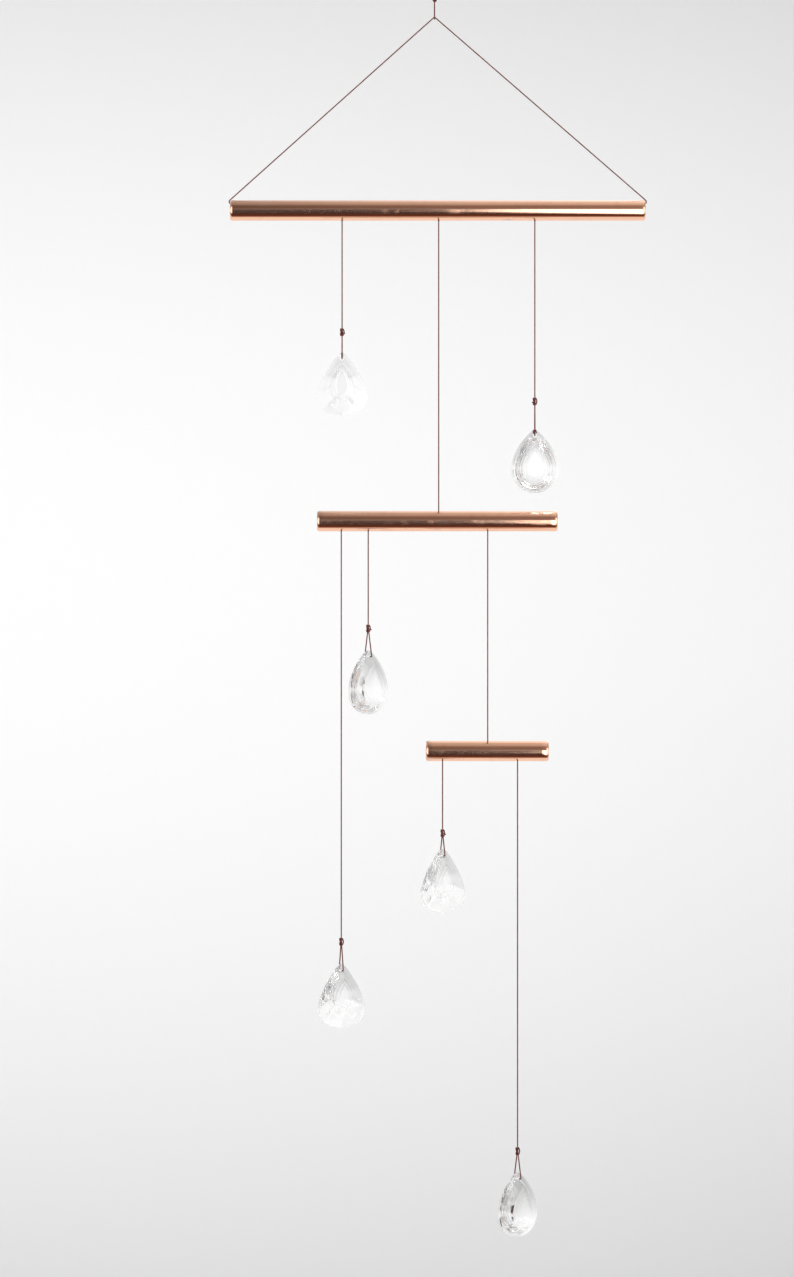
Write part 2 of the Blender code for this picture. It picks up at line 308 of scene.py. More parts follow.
@dataclass(frozen=True)
class PolishedCopper:
    """Bright drawn copper tube that has been handled: drawing lines, smudges and fine scratches."""

    bright: Colour = (0.95, 0.58, 0.41)
    dull: Colour = (0.78, 0.44, 0.31)
    film: Colour = (0.60, 0.42, 0.38)
    clean_rough: float = 0.035
    smudge_rough: float = 0.16
    line_rough: float = 0.04
    film_metal: float = 0.74
    smudge: Patches = Patches(70.0, 0.46, 0.74)
    streak: Patches = Patches(520.0, 0.50, 0.70)
    rub: Patches = Patches(34.0, 0.50, 0.66)
    streak_stretch: Triple = (0.05, 1.0, 1.0)
    line_stretch: Triple = (6.0, 1400.0, 1400.0)
    line_detail: float = 4.0
    line_height: float = 0.00002
    line_strength: float = 0.5
    line_tone: float = 0.35
    smudge_tone: float = 0.4
    smudge_weight: float = 0.6

    def material(self) -> bpy.types.Material:
        """Drawing lines run along X, where noise is stretched, and smudges lie across them.

        Returns:
            The copper finish.
        """
        material, sheet, shader = new_material("polished_copper")
        place = sheet.add("ShaderNodeTexCoord", {}).outputs["Object"]
        lines = sheet.noise(place, self.line_stretch, self.line_detail)
        drawn = sheet.add("ShaderNodeMapping", {"Vector": place, "Scale": self.streak_stretch})
        smudges = self.smudge.mask(sheet, place)
        streaks = self.streak.mask(sheet, drawn.outputs["Vector"])
        wiped = sheet.math("MULTIPLY", streaks, self.rub.mask(sheet, place))
        marks = sheet.math("MAXIMUM", sheet.math("MULTIPLY", smudges, self.smudge_weight), wiped)
        toned = sheet.math("MULTIPLY", smudges, self.smudge_tone)
        toned = sheet.math("MULTIPLY_ADD", lines, self.line_tone, toned)
        colour = sheet.mix(toned, (*self.bright, 1.0), (*self.dull, 1.0))
        rough = sheet.between(marks, self.clean_rough, self.smudge_rough)
        sheet.feed(
            shader,
            {
                "Base Color": sheet.mix(wiped, colour, (*self.film, 1.0)),
                "Metallic": sheet.between(wiped, 1.0, self.film_metal),
                "Roughness": sheet.math("MULTIPLY_ADD", lines, self.line_rough, rough),
                "Normal": sheet.bump(lines, self.line_strength, self.line_height),
            },
        )
        return material


@dataclass(frozen=True)
class CutCrystal:
    """Clear cut glass, polished, with the faintest film of handling on it."""

    colour: Colour = (1.0, 1.0, 1.0)
    ior: float = 1.56
    film: float = 0.02
    touch: Patches = Patches(160.0, 0.50, 0.75)

    def material(self) -> bpy.types.Material:
        """Clear glass whose roughness rises a little in patches.

        Returns:
            The crystal finish.
        """
        material, sheet, shader = new_material("cut_crystal")
        place = sheet.add("ShaderNodeTexCoord", {}).outputs["Object"]
        sheet.feed(
            shader,
            {
                "Base Color": (*self.colour, 1.0),
                "IOR": self.ior,
                "Transmission Weight": 1.0,
                "Roughness": sheet.between(self.touch.mask(sheet, place), 0.0, self.film),
            },
        )
        return material


@dataclass(frozen=True)
class WaxedCord:
    """Dark red-brown twisted cord with wax on it. Its pattern follows the cord's own UV map."""

    deep: Colour = (0.075, 0.010, 0.008)
    worn: Colour = (0.225, 0.034, 0.028)
    bare_rough: float = 0.60
    wax_rough: float = 0.38
    wax: Patches = Patches(240.0, 0.45, 0.70)
    fibre_stretch: Triple = (14.0, 900.0, 1.0)
    fibre_detail: float = 3.0
    fibre_height: float = 0.00004
    fibre_strength: float = 0.6

    def material(self) -> bpy.types.Material:
        """Fibres are noise stretched along the cord, and wax lies on it in paler patches.

        Returns:
            The cord finish.
        """
        material, sheet, shader = new_material("waxed_cord")
        coordinates = sheet.add("ShaderNodeTexCoord", {}).outputs
        fibres = sheet.noise(coordinates["UV"], self.fibre_stretch, self.fibre_detail)
        wax = self.wax.mask(sheet, coordinates["Object"])
        tone = sheet.math("MULTIPLY", sheet.math("ADD", fibres, wax), 0.5)
        sheet.feed(
            shader,
            {
                "Base Color": sheet.mix(tone, (*self.deep, 1.0), (*self.worn, 1.0)),
                "Roughness": sheet.between(wax, self.bare_rough, self.wax_rough),
                "Normal": sheet.bump(fibres, self.fibre_strength, self.fibre_height),
            },
        )
        return material


def unit(vectors: Array) -> Array:
    """Each vector divided by its length."""
    return vectors / np.linalg.norm(vectors, axis=-1, keepdims=True)


def box(node: str) -> tuple[Array, Array]:
    """A CAD node's lowest and highest corners."""
    low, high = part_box(node)
    return np.array(low), np.array(high)


def run_along(line: Array) -> Array:
    """Distance along a line from its first point, at each of its points."""
    return np.concatenate([[0.0], np.cumsum(np.linalg.norm(np.diff(line, axis=0), axis=1))])


def grid_faces(rows: int, columns: int, wrap: bool) -> Faces:
    """Corners of the squares of a grid whose points are numbered row by row.

    Args:
        rows: Number of rows of points.
        columns: Number of points in a row.
        wrap: True if the last column joins the first.

    Returns:
        One line of four point numbers for each square.
    """
    row = np.arange(rows - 1)[:, None]
    column = np.arange(columns if wrap else columns - 1)[None, :]
    after = (column + 1) % columns
    corners = (
        row * columns + column,
        row * columns + after,
        (row + 1) * columns + after,
        (row + 1) * columns + column,
    )
    return np.stack([np.broadcast_to(c, (rows - 1, column.size)) for c in corners], -1).reshape(-1, 4)


def fan_faces(centre: int, ring: Faces, outward: bool) -> Faces:
    """Triangles from a pole to each side of a closed ring of points.

    Args:
        centre: The pole's point number.
        ring: The ring's point numbers in order.
        outward: Which way round the triangles run.

    Returns:
        One line of three point numbers for each triangle.
    """
    after = np.roll(ring, -1)
    pole = np.full_like(ring, centre)
    order = (pole, ring, after) if outward else (pole, after, ring)
    return np.stack(order, -1)


def grid_mesh(name: str, points: Array, ring: bool, uv: Array | None = None) -> bpy.types.Mesh:
    """A closed mesh of closed rows of points, one row after another.

    Args:
        name: The mesh's name.
        points: Points by row, round the row and axis.
        ring: True if the last row joins the first, False if a fan closes each end.
        uv: Pattern coordinates by row and round the row, or None. They have one more column than
            the points, and on a ring one more row, because a seam has two values.

    Returns:
        The mesh, shaded smooth, with its faces pointing out.
    """
    rows, columns, _ = points.shape
    flat = points.reshape(-1, 3)
    faces = grid_faces(rows + ring, columns, True) % (rows * columns)
    pattern = None if uv is None else uv.reshape(-1, 2)[grid_faces(rows + ring, columns + 1, False)]
    corners = faces.tolist()
    if not ring:
        first = fan_faces(rows * columns, np.arange(columns), False)
        last = fan_faces(rows * columns + 1, np.arange(columns) + (rows - 1) * columns, True)
        flat = np.concatenate([flat, points[:1].mean(1), points[-1:].mean(1)])
        corners += first.tolist() + last.tolist()
    mesh = bpy.data.meshes.new(name)
    mesh.from_pydata(flat.tolist(), [], corners)
    if pattern is not None:
        values = np.zeros((len(mesh.loops), 2), np.float32)
        values[: pattern.size // 2] = pattern.reshape(-1, 2)
        mesh.uv_layers.new(name="along_cord").data.foreach_set("uv", values.ravel())
    mesh.shade_smooth()
    mesh.update()
    if signed_volume(mesh) < 0:
        mesh.flip_normals()
    return mesh


def signed_volume(mesh: bpy.types.Mesh) -> float:
    """Volume inside a closed mesh: a sixth of the triple product, summed over its triangles.

    Args:
        mesh: The closed mesh.

    Returns:
        The volume, below zero if the faces point in.
    """
    mesh.calc_loop_triangles()
    points = np.zeros(len(mesh.vertices) * 3, np.float32)
    mesh.vertices.foreach_get("co", points)
    corners = np.zeros(len(mesh.loop_triangles) * 3, np.int32)
    mesh.loop_triangles.foreach_get("vertices", corners)
    a, b, c = points.reshape(-1, 3)[corners].reshape(-1, 3, 3).transpose(1, 0, 2).astype(float)
    return float(np.einsum("ij,ij->", a, np.cross(b, c)) / 6)


def new_object(name: str, data: Any) -> bpy.types.Object:
    """Puts a mesh, lamp or camera into the scene at the origin.

    Args:
        name: The object's name.
        data: Its mesh, lamp or camera. A mesh has its place in its points.

    Returns:
        The new object.
    """
    made = bpy.data.objects.new(name, data)
    bpy.context.scene.collection.objects.link(made)
    return made


def dress(
    piece: bpy.types.Object, node: str, material: bpy.types.Material
) -> bpy.types.Object:
    """Makes a piece stand for a CAD node, riding on the node's body in the given finish.

    Args:
        piece: The new piece, in place.
        node: The CAD node that it stands for.
        material: The finish.

    Returns:
        The piece.
    """
    piece.data.materials.clear()
    piece.data.materials.append(material)
    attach(piece, BODY_OF[node])
    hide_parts(node)
    LOG.info("%s stands for %s on %s", piece.name, node, BODY_OF[node])
    return piece


def drilled(piece: bpy.types.Object, drills: list[bpy.types.Mesh]) -> bpy.types.Object:
    """Cuts holes through a piece.

    Args:
        piece: A closed mesh piece.
        drills: One closed mesh for each hole, used up here.

    Returns:
        The piece with its holes cut.
    """
    cutters = [new_object(f"drill_{i}", mesh) for i, mesh in enumerate(drills)]
    for cutter in cutters:
        modifier = piece.modifiers.new("hole", "BOOLEAN")
        modifier.operation = "DIFFERENCE"
        modifier.object = cutter
    depsgraph = bpy.context.evaluated_depsgraph_get()
    cut = bpy.data.meshes.new_from_object(piece.evaluated_get(depsgraph))
    piece.modifiers.clear()
    solid, piece.data = piece.data, cut
    bpy.data.meshes.remove(solid)
    for cutter, mesh in zip(cutters, drills):
        bpy.data.objects.remove(cutter)
        bpy.data.meshes.remove(mesh)
    return piece


def drill_mesh(
    middle: Array, along: Array, radius: float, length: float, sides: int = 40
) -> bpy.types.Mesh:
    """A round drill: a circle carried along a straight line.

    Args:
        middle: The middle of the hole.
        along: Unit vector of the hole's axis.
        radius: The hole's radius.
        length: The drill's length.
        sides: How finely the circle is divided.

    Returns:
        A closed mesh.
    """
    across = unit(np.cross(along, X_AXIS if abs(along[0]) < 0.9 else Y_AXIS))
    other = np.cross(along, across)
    turn = np.linspace(0, math.tau, sides, endpoint=False)[:, None]
    circle = radius * (np.cos(turn) * across + np.sin(turn) * other)
    ends = np.array([-0.5, 0.5])[:, None, None] * length * along
    return grid_mesh("drill", middle + circle + ends, False)


@dataclass(frozen=True)
class Tube:
    """One copper tube, cut with a wheel that rolls its ends in, with holes for the cords."""

    bar: Bar
    under: tuple[str, ...]
    over: tuple[str, ...] = ()
    turned: float = 0.0
    sides: int = 144
    ring_step: float = 0.003
    roll_steps: int = 10
    drill_length: float = 4 * TUBE_WALL

    def section(self, length: float) -> Array:
        """Half section of the tube wall as a closed line: distance along, and radius.

        Args:
            length: The tube's length.

        Returns:
            Points by row: along the outside, round a quarter ellipse at each end, and back inside.
        """
        quarter = np.linspace(0, math.pi / 2, self.roll_steps)
        rolled = length / 2 - END_ROLL * (1 - np.sin(quarter))
        radius = TUBE_R - TUBE_WALL * (1 - np.cos(quarter))
        count = max(4, round(length / self.ring_step))
        straight = np.linspace(-rolled[0], rolled[0], count)[1:-1]
        mouth = np.array([length / 2, length / 2 - END_ROLL])
        outside = np.concatenate([-rolled[::-1], straight, rolled])
        outside_r = np.concatenate([radius[::-1], np.full(straight.size, TUBE_R), radius])
        inside = np.concatenate([mouth, straight[::-1], -mouth[::-1]])
        inside_r = np.concatenate(
            [[LIP_R, BORE_R], np.full(straight.size, BORE_R), [BORE_R, LIP_R]]
        )
        return np.stack(
            [np.concatenate([outside, inside]), np.concatenate([outside_r, inside_r])], -1
        )

    def build(self, material: bpy.types.Material) -> bpy.types.Object:
        """Turns the section round the tube's axis, then drills the cord holes.

        A tube hangs turned a little on its cord: its axis is X + turned * Y.

        Args:
            material: The copper finish.

        Returns:
            The dressed tube.
        """
        low, high = box(self.bar.value)
        middle = (low + high) / 2
        section = self.section(high[0] - low[0])
        turn = np.linspace(0, math.tau, self.sides, endpoint=False)
        around = np.stack([np.zeros_like(turn), np.cos(turn), np.sin(turn)], -1)
        along = X_AXIS + self.turned * Y_AXIS
        points = middle + section[:, None, :1] * along + section[:, None, 1:] * around
        mesh = grid_mesh(self.bar.value, points, True)
        piece = new_object(f"copper_{self.bar.value}", mesh)
        wall = TUBE_R - TUBE_WALL / 2
        holes = [
            np.array([JOINT_AT[name][0], 0, middle[2] + side * wall])
            for side, names in ((-1, self.under), (1, self.over))
            for name in names
        ]
        drilled(piece, [drill_mesh(hole, Z_AXIS, DRILL_R, self.drill_length) for hole in holes])
        piece.data.set_sharp_from_angle(angle=EDGE_ANGLE)
        return dress(piece, self.bar.value, material)


@dataclass(frozen=True)
class Cut:
    """How a crystal is cut, from its girdle to a pear-shaped table on each face.

    Each ring is a crease, by its share of the way in and of the way up. Flutes hollow the outline
    and the slopes between ridges. Nicks are the small scallops ground along the girdle, and their
    reach is the share of the way in at which they run out.
    """

    width: float
    taper: float
    shoulder: float
    thickness: float
    girdle: float
    table_width: float
    table_height: float
    table_below: float
    table_taper: float
    rings: tuple[Span, ...]
    hollow: float
    flute_depth: float = 0.0
    flute_dip: float = 0.0
    nicks: int = 0
    nick_depth: float = 0.0
    nick_reach: float = 0.2


BROAD = Cut(
    width=0.0322,
    taper=2.0,
    shoulder=0.28,
    thickness=0.0099,
    girdle=0.0022,
    table_width=0.0064,
    table_height=0.0130,
    table_below=0.0150,
    table_taper=0.7,
    rings=((0.50, 0.50), (0.80, 0.85)),
    hollow=0.00012,
    flute_depth=0.035,
    flute_dip=0.14,
    nicks=44,
    nick_depth=0.00022,
)
ALMOND = Cut(
    width=0.0296,
    taper=0.7,
    shoulder=0.0,
    thickness=0.0148,
    girdle=0.0026,
    table_width=0.0084,
    table_height=0.0160,
    table_below=0.0175,
    table_taper=1.2,
    rings=((0.35, 0.34), (0.62, 0.70), (0.85, 0.92)),
    hollow=0.00010,
)


@dataclass(frozen=True)
class Pendant:
    """A crystal on its drop cord: stopper, cord, tied knot, loop and glass.

    The knot's trimmed tail leans to the front and down, by shares of its way aside.
    """

    number: int
    cut: Cut
    turn: float
    tail: float = 0.0023
    tail_front: float = 0.7
    tail_down: float = 0.5
    tie_phase: float = 2.1
    columns: int = 360
    band_steps: int = 6

    def hang_point(self) -> Array:
        """The line on which the crystal rocks in its loop, from the frame's joint."""
        return JOINT_AT[f"pendant_{self.number}_turn"]

    def forward(self) -> Array:
        """Unit vector through the crystal from front to back."""
        angle = math.radians(self.turn)
        return np.array([-math.sin(angle), math.cos(angle), 0.0])

    def pear(
        self, angle: Array, width: float, height: float, middle: float, taper: float, shoulder: float
    ) -> Array:
        """A pear-shaped outline: its width follows sin(a) times sin(a / 2) to the taper.

        Args:
            angle: Angles from the top round by the tip.
            width: Greatest width.
            height: Height from tip to top.
            middle: Height of its middle above the hole.
            taper: 0 is an ellipse, more is slimmer at the top.
            shoulder: Share of plain sin(a), which keeps a slim top blunt.

        Returns:
            Across and up by row.
        """
        slim = np.abs(np.sin(angle / 2)) ** taper
        swell = np.sin(angle) * (shoulder + (1 - shoulder) * slim)
        return np.stack([width / 2 * swell / swell.max(), middle + height / 2 * np.cos(angle)], -1)

    def section(self) -> Array:
        """The cut's section from the front table to the back one: way in, and depth.

        Returns:
            Points by row. Each band between two creases is divided evenly and ground slightly
            hollow, deepest half way across it.
        """
        cut = self.cut
        edge = cut.girdle / 2
        creases = np.array(((0.0, 0.0), *cut.rings, (1.0, 1.0)))
        stations = np.arange(creases.shape[0])
        fine = np.linspace(0, stations[-1], stations[-1] * self.band_steps + 1)
        inward = np.interp(fine, stations, creases[:, 0])
        depth = edge + (cut.thickness / 2 - edge) * np.interp(fine, stations, creases[:, 1])
        across = fine % 1
        depth = depth - cut.hollow * 4 * across * (1 - across)
        face = np.stack([inward, depth], -1)
        return np.concatenate([face[::-1] * (1, -1), face])

    def glass(self, material: bpy.types.Material) -> bpy.types.Object:
        """Lofts the glass through the section's rings and drills it for the loop.

        Args:
            material: The crystal finish.

        Returns:
            The dressed crystal.
        """
        cut = self.cut
        angle = np.linspace(0, math.tau, self.columns, endpoint=False)
        height = CRYSTAL_ABOVE + CRYSTAL_BELOW
        middle = CRYSTAL_ABOVE - height / 2
        hollow = np.abs(np.sin(math.pi * (angle - math.pi) / FLUTE_TURN)) * (1 - np.cos(angle)) / 2
        rim = self.pear(angle, cut.width, height, middle, cut.taper, cut.shoulder)
        centre = np.array([0.0, middle])
        rim = rim + (centre - rim) * (cut.flute_depth * hollow)[:, None]
        table = self.pear(
            angle, cut.table_width, cut.table_height, -cut.table_below, cut.table_taper, 0.0
        )
        inward, depth = self.section().T[:, :, None]
        face = rim + (table - rim) * inward[..., None]
        if cut.nicks:
            fade = np.clip(1 - inward / cut.nick_reach, 0, 1)
            nick = cut.nick_depth * np.abs(np.sin(cut.nicks * angle)) * fade
            face = face - unit(rim - centre) * nick[..., None]
        deep = depth * (1 - cut.flute_dip * hollow * 4 * inward * (1 - inward))
        turn = math.radians(self.turn)
        right = np.array([math.cos(turn), math.sin(turn), 0.0])
        hole = self.hang_point() - (CRYSTAL_HOLE_R - STANDOFF) * Z_AXIS
        rings = hole + face[..., :1] * right + face[..., 1:] * Z_AXIS
        rings = rings + deep[..., None] * self.forward()
        mesh = grid_mesh(f"glass_{self.number}", rings, False)
        piece = new_object(f"glass_crystal_{self.number}", mesh)
        drilled(piece, [drill_mesh(hole, self.forward(), CRYSTAL_HOLE_R, 2 * cut.thickness)])
        piece.data.set_sharp_from_angle(angle=CREASE_ANGLE)
        return dress(piece, f"crystal_{self.number}", material)

    def loop_route(self) -> Array:
        """From the trimmed end at the knot, down, through the crystal's hole and up at the back.

        Returns:
            The route's corners by row.
        """
        low, high = box(f"crystal_loop_{self.number}")
        hang = self.hang_point()
        reach = np.hypot(*(high - low)[:2]) / 2
        spread = (high[1] - low[1]) / 2 - CORD_R if self.turn == 0 else reach - CORD_R
        knot_low, knot_high = box(f"tie_knot_{self.number}")
        knot_foot = knot_low[2] + CORD_D
        top = np.array([-PAIR_OFFSET, knot_foot - hang[2]])
        bend = np.array([-spread, 0.0])
        rise = unit(top - bend)
        half = np.stack([top, bend + 2 * STANDOFF * rise, bend, bend + [2 * STANDOFF, 0.0]])
        flat = np.concatenate([half, half[::-1] * (-1, 1)])
        loop = hang + flat[:, :1] * self.forward() + flat[:, 1:] * Z_AXIS
        knot = np.array([hang[0], hang[1], (knot_low[2] + knot_high[2]) / 2])
        side = 1 if self.number % 2 else -1
        out = side * np.cross(self.forward(), Z_AXIS)
        out = out - self.tail_front * self.forward() - self.tail_down * Z_AXIS
        return np.concatenate([[knot + self.tail * unit(out), knot], loop])

    def build(self, cord_look: bpy.types.Material, glass_look: bpy.types.Material) -> None:
        """Builds the pendant's pieces.

        Args:
            cord_look: The cord finish.
            glass_look: The crystal finish.
        """
        number = self.number
        right = np.cross(Z_AXIS, self.forward())
        stopper = Knot(f"stopper_{number}", phase=number).build(cord_look)
        tied = Knot(f"tie_knot_{number}", phase=self.tie_phase * number).build(cord_look)
        loop = Cord(f"crystal_loop_{number}", self.loop_route(), right).build(cord_look)
        self.glass(glass_look)
        drop = Cord.plumb(f"drop_cord_{number}", self.hang_point())
        drop.declare(drop.build(cord_look), "knot", [stopper, tied, loop])


def ply_rings(
    line: Array, out: Array, other: Array, turn: Array, twist: Array, plies: Array
) -> Array:
    """Rings of three-ply cord round a line.

    At angle a round the cord the radius is crest - relief * (1 - abs(cos(1.5 * (a - twist)))), so
    that three plies stand out.

    Args:
        line: The cord's middle by row.
        out: Unit vector at which the angle is 0, by row.
        other: Unit vector at which the angle is a quarter turn, by row.
        turn: Angles round the cord.
        twist: How far the plies have turned, by row.
        plies: The radius at the plies' crests, and their relief.

    Returns:
        Points by row, round the row and axis.
    """
    crest, relief = plies
    lobes = np.abs(np.cos(PLIES / 2 * (turn - twist[:, None])))
    radius = crest - relief * (1 - lobes)
    circle = np.cos(turn)[:, None] * out[:, None] + np.sin(turn)[:, None] * other[:, None]
    return line[:, None] + radius[..., None] * circle


@dataclass(frozen=True)
class Cord:
    """A stretch of three-ply waxed cord along a route, standing for a CAD cord.

    Its plies' crests and relief are shares of its radius.
    """

    node: str
    route: Array
    side: Array
    sides: int = 12
    step: float = 0.0004
    lay: float = 0.0027
    ply_relief: float = 0.12
    ply_crest: float = 1.12
    corner_rounds: int = 4
    corner_cut: float = 0.25

    @classmethod
    def plumb(cls, node: str, at: Array) -> "Cord":
        """A cord that hangs straight down, longer than its CAD node by a clearance at each end.

        Args:
            node: The CAD cord that it stands for.
            at: A point on its line.

        Returns:
            The cord, from its top to its foot.
        """
        low, high = box(node)
        ends = [(at[0], at[1], high[2] + GAP), (at[0], at[1], low[2] - GAP)]
        return cls(node, np.array(ends), Y_AXIS)

    def path(self) -> Array:
        """The route with its corners cut to a smooth curve, in even steps.

        Returns:
            Points by row.
        """
        line = self.route
        near, far = 1 - self.corner_cut, self.corner_cut
        for _ in range(self.corner_rounds if len(line) > 2 else 0):
            start, end = line[:-1], line[1:]
            cuts = np.stack([near * start + far * end, far * start + near * end], 1)
            line = np.concatenate([line[:1], cuts.reshape(-1, 3), line[-1:]])
        run = run_along(line)
        even = np.linspace(0, run[-1], max(3, round(run[-1] / self.step)))
        return np.stack([np.interp(even, run, line[:, axis]) for axis in range(3)], -1)

    def length(self) -> float:
        """Length along the cord's middle."""
        return float(np.linalg.norm(np.diff(self.path(), axis=0), axis=1).sum())

    def build(self, material: bpy.types.Material) -> bpy.types.Object:
        """Carries a three-lobed circle along the path. It turns once in each lay length.

        Args:
            material: The cord finish.

        Returns:
            The dressed cord.
        """
        path = self.path()
        along = unit(np.gradient(path, axis=0))
        across = unit(self.side - (along @ self.side)[:, None] * along)
        run = run_along(path)
        turn = np.linspace(0, math.tau, self.sides + 1)
        plies = CORD_R * np.array([self.ply_crest, self.ply_relief])
        twist = math.tau * run / self.lay
        rings = ply_rings(path, across, np.cross(along, across), turn, twist, plies)
        wound = turn / math.tau + run[:, None] / self.lay
        uv = np.stack([np.broadcast_to(run[:, None], wound.shape), wound], -1)
        mesh = grid_mesh(self.node, rings[:, :-1], False, uv)
        return dress(new_object(f"waxed_{self.node}", mesh), self.node, material)

    def declare(
        self, piece: bpy.types.Object, far_end: str, with_pieces: list[bpy.types.Object]
    ) -> None:
        """Takes a cord's piece and does nothing with it.

        Args:
            piece: The cord's mesh. Not used.
            far_end: What the far end is. Not used.
            with_pieces: Knots and loops on it. Not used.
        """


@dataclass(frozen=True)
class Knot:
    """An overhand knot pulled tight: its cord winds twice round and crosses itself three times."""

    node: str
    axis: int = 2
    phase: float = 0.0
    rounds: int = 2
    crossings: int = 3
    steps: int = 150
    sides: int = 12
    core: float = 0.0001
    strand_r: float = 0.00042
    twists: int = 7
    ply_relief: float = 0.10

    def build(self, material: bpy.types.Material) -> bpy.types.Object:
        """Carries a three-lobed circle round a closed curve that winds on a stretched ring.

        At t from 0 to a full turn the curve has gone 2 t round the axis and 3 t round the ring's
        own section. The section is half as wide as the space from the core to the knot's outside,
        and as tall as the knot.

        Args:
            material: The cord finish.

        Returns:
            The dressed knot.
        """
        low, high = box(self.node)
        middle, half = (low + high) / 2, (high - low) / 2
        axes = np.roll(np.arange(3), 2 - self.axis)
        reach = half[axes[1]] + GAP - self.strand_r
        ring_r, section_r = (reach + self.core) / 2, (reach - self.core) / 2
        t = np.linspace(0, math.tau, self.steps, endpoint=False)
        spin, swing = self.rounds * t + self.phase, self.crossings * t
        around = np.stack([np.cos(spin), np.sin(spin), np.zeros_like(t)], -1)
        lift = (half[self.axis] - self.strand_r) * np.sin(swing)
        line = (ring_r + section_r * np.cos(swing))[:, None] * around + lift[:, None] * Z_AXIS
        along = unit(np.roll(line, -1, 0) - np.roll(line, 1, 0))
        out = np.cos(swing)[:, None] * around + np.sin(swing)[:, None] * Z_AXIS
        out = unit(out - np.einsum("ij,ij->i", out, along)[:, None] * along)
        turn = np.linspace(0, math.tau, self.sides, endpoint=False)
        plies = self.strand_r * np.array([1.0, self.ply_relief])
        points = ply_rings(line, out, np.cross(along, out), turn, self.twists * t, plies)
        length = np.linalg.norm(np.diff(line, axis=0), axis=1).sum()
        run = np.linspace(0, length, self.steps + 1)[:, None]
        wound = np.linspace(0, 1, self.sides + 1) + run / length * self.twists
        uv = np.stack([np.broadcast_to(run, wound.shape), wound], -1)
        mesh = grid_mesh(self.node, middle + points[..., np.argsort(axes)], True, uv)
        return dress(new_object(f"waxed_{self.node}", mesh), self.node, material)


@dataclass(frozen=True)
class Suspension:
    """The cord that a lower tube hangs by, with a stopper knot at each end."""

    name: str
    phases: tuple[tuple[str, float], ...] = (("upper", 0.3), ("lower", 1.7))

    def build(self, material: bpy.types.Material) -> None:
        """Builds the cord and its stoppers.

        Args:
            material: The cord finish.
        """
        knots = [
            Knot(f"{self.name}_{end}_stopper", phase=phase).build(material)
            for end, phase in self.phases
        ]
        node = f"{self.name}_suspension_cord"
        low, high = box(node)
        cord = Cord.plumb(node, (low + high) / 2)
        cord.declare(cord.build(material), "knot", knots)


@dataclass(frozen=True)
class Hanger:
    """The eye on the hook, its knot, the doubled strand and the bridle that holds the top tube."""

    eye_width: float = 0.0140
    eye_spread: Span = (0.85, 0.45)
    knot_phase: float = 0.8
    bridle_phase: float = 0.4

    def eye_route(self) -> Array:
        """Up from the knot, over the hook and down again.

        Returns:
            The route's corners by row.
        """
        foot = box("hanger_knot")[1][2] + GAP / 2
        bow = self.eye_width / 2 - CORD_R
        together, apart = self.eye_spread
        half = np.array(
            [
                (-PAIR_OFFSET, 0.0, foot),
                (-PAIR_OFFSET, 0.0, together * foot),
                (-bow, 0.0, apart * foot),
                (-bow, 0.0, CORD_R),
            ]
        )
        return np.concatenate([half, half[::-1] * (-1, 1, 1)])

    def strand_route(self) -> Array:
        """Down from the knot, under the bridle's apex and up again.

        Returns:
            The route's corners by row.
        """
        apex = JOINT_AT["hanger_turn"][2]
        spread = CORD_D + GAP
        half = np.array(
            [
                (0.0, -PAIR_OFFSET, box("hanger_knot")[0][2]),
                (0.0, -spread, apex + 2 * spread),
                (0.0, -spread, box("hanger_strand")[0][2] + CORD_R),
            ]
        )
        return np.concatenate([half, half[::-1] * (1, -1, 1)])

    def bridle_route(self) -> Array:
        """From the knot in the bore, out over one end, up to the apex and back by the other end.

        Returns:
            The route's corners by row.
        """
        low, high = box(Bar.TOP.value)
        axis_z = (low[2] + high[2]) / 2
        lip_z = axis_z + LIP_R - STANDOFF
        knot_low, knot_high = box("bridle_knot")
        knot_z = (knot_low[2] + knot_high[2]) / 2
        top = np.array([0.0, 0.0, JOINT_AT["hanger_turn"][2]])
        halves = []
        for side, end, start in ((1, high[0], knot_high[0]), (-1, low[0], knot_low[0])):
            out = end + side * STANDOFF
            shoulder = np.array([out, 0.0, axis_z + TUBE_R - GAP])
            up = unit(top - shoulder) * 2 * STANDOFF
            mouth = [(start, 0.0, knot_z), (end - side * 2 * STANDOFF, 0.0, lip_z), (out, 0.0, lip_z)]
            halves.append(np.stack([*np.array(mouth), shoulder, shoulder + up, top - up]))
        return np.concatenate([halves[0], top[None], halves[1][::-1]])

    def build(self, material: bpy.types.Material) -> None:
        """Builds the hanger's cords and knots.

        Args:
            material: The cord finish.
        """
        hanger_knot = Knot("hanger_knot", phase=self.knot_phase).build(material)
        eye = Cord("hanging_eye", self.eye_route(), Y_AXIS)
        eye.declare(eye.build(material), "object", [hanger_knot])
        strand = Cord("hanger_strand", self.strand_route(), X_AXIS).build(material)
        bridle_knot = Knot("bridle_knot", axis=0, phase=self.bridle_phase).build(material)
        bridle = Cord("bridle_cord", self.bridle_route(), Y_AXIS)
        bridle.declare(bridle.build(material), "knot", [bridle_knot, strand])


